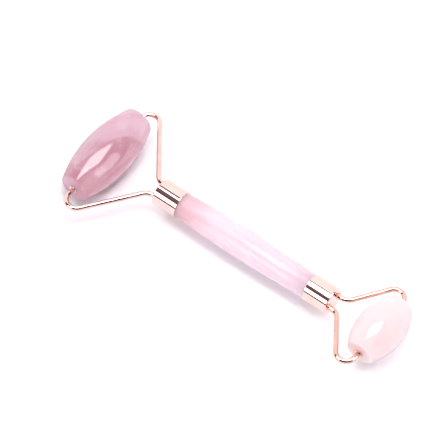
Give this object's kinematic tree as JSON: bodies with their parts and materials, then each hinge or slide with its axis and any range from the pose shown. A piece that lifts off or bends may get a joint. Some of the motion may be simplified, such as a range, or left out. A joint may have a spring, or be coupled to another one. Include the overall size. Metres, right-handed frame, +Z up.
{
  "type": "double-ended stone face roller",
  "caption": "Hand-held face massager: a slim barrel-turned stone handle with a metal ferrule at each end, whose bent wire forks carry a large and a small barrel stone that roll freely.",
  "frame": {"origin": "the middle of the overall box, on the handle's axis, 3.2 mm from the middle of the handle towards the large stone, in the plane of the wires and of both spin axes", "axes": "+X along the handle towards the large stone, +Y along both stones' spin axes, +Z up out of the plane of the wires"},
  "size_m": [0.1474, 0.0544, 0.0194],
  "materials": {
    "handle_quartz": "polished pale pink quartz with milky streaks",
    "large_roller_quartz": "polished dusty mauve-pink quartz with cloudy veins",
    "small_roller_quartz": "polished very pale pink quartz",
    "rose_gold": "mirror-polished rose gold plate",
    "solder": "rose gold plated solder, slightly rippled",
    "clear_adhesive": "set clear epoxy"
  },
  "bodies": {
    "frame": {"handle_stone": "handle_quartz", "large_ferrule": "rose_gold", "large_ferrule_adhesive": "clear_adhesive", "large_fork_left_arm": "rose_gold", "large_fork_left_solder": "solder", "large_fork_right_arm": "rose_gold", "large_fork_right_solder": "solder", "small_ferrule": "rose_gold", "small_ferrule_adhesive": "clear_adhesive", "small_fork_left_arm": "rose_gold", "small_fork_left_solder": "solder", "small_fork_right_arm": "rose_gold", "small_fork_right_solder": "solder"},
    "large_roller": {"large_roller_stone": "large_roller_quartz", "large_roller_left_sleeve": "rose_gold", "large_roller_right_sleeve": "rose_gold"},
    "small_roller": {"small_roller_stone": "small_roller_quartz", "small_roller_left_sleeve": "rose_gold", "small_roller_right_sleeve": "rose_gold"}
  },
  "joints": [
    {"name": "large_roller_spin", "type": "hinge", "parent": "frame", "child": "large_roller", "pos_m": [0.064, 0, 0], "axis": [0, 1, 0], "continuous": true},
    {"name": "small_roller_spin", "type": "hinge", "parent": "frame", "child": "small_roller", "pos_m": [-0.0645, 0, 0], "axis": [0, 1, 0], "continuous": true}
  ]
}
